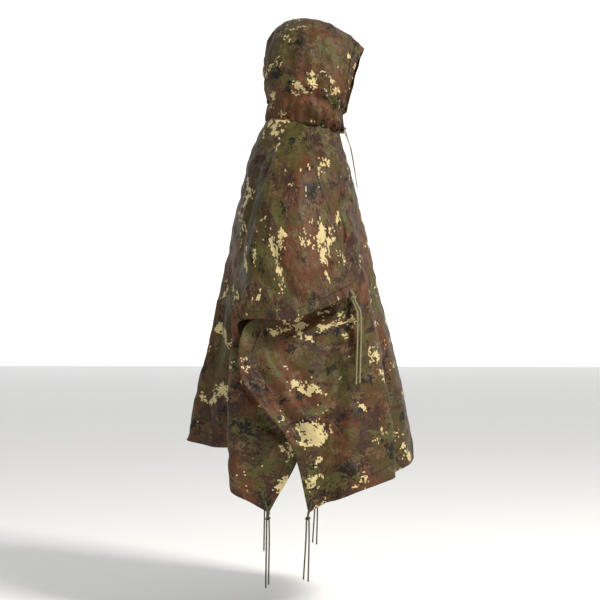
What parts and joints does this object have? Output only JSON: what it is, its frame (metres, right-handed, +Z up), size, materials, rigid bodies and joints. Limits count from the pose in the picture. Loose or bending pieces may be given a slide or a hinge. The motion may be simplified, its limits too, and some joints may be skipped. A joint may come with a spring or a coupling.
{
  "type": "hooded rain poncho",
  "caption": "Hooded camouflage rain poncho hanging in its worn shape with bent sleeves, an open hood, press studs, eyelets and tie cords.",
  "frame": {"origin": "the centre of the neck at the height of the shoulders, where the garment is held up", "axes": "-Y is the wearer's front, +X the wearer's left, +Z up"},
  "size_m": [0.7948, 0.6826, 1.6498],
  "materials": {
    "cloth": "satin proofed camouflage cloth",
    "metal": "dark satin",
    "cord": "matt braided cord"
  },
  "bodies": {
    "root": {"back_panel": "cloth", "eyelet_back_corner_left": "metal", "eyelet_back_corner_right": "metal", "eyelet_front_corner_left": "metal", "eyelet_front_corner_right": "metal", "eyelet_hand_left": "metal", "eyelet_hand_right": "metal", "front_panel": "cloth", "hood_casing": "cloth", "hood_cord_a": "cord", "hood_cord_b": "cord", "hood_cord_knot": "cord", "hood_left": "cloth", "hood_right": "cloth", "stud_left_1": "metal", "stud_left_2": "metal", "stud_left_3": "metal", "stud_left_4": "metal", "stud_right_1": "metal", "stud_right_2": "metal", "stud_right_3": "metal", "stud_right_4": "metal", "tie_a_back_corner_left": "cord", "tie_a_back_corner_right": "cord", "tie_a_front_corner_left": "cord", "tie_a_front_corner_right": "cord", "tie_a_hand_left": "cord", "tie_a_hand_right": "cord", "tie_b_back_corner_left": "cord", "tie_b_back_corner_right": "cord", "tie_b_front_corner_left": "cord", "tie_b_front_corner_right": "cord", "tie_b_hand_left": "cord", "tie_b_hand_right": "cord", "tie_knot_back_corner_left": "cord", "tie_knot_back_corner_right": "cord", "tie_knot_front_corner_left": "cord", "tie_knot_front_corner_right": "cord", "tie_knot_hand_left": "cord", "tie_knot_hand_right": "cord", "tie_loop_back_corner_left": "cord", "tie_loop_back_corner_right": "cord", "tie_loop_front_corner_left": "cord", "tie_loop_front_corner_right": "cord", "tie_loop_hand_left": "cord", "tie_loop_hand_right": "cord"}
  },
  "joints": []
}
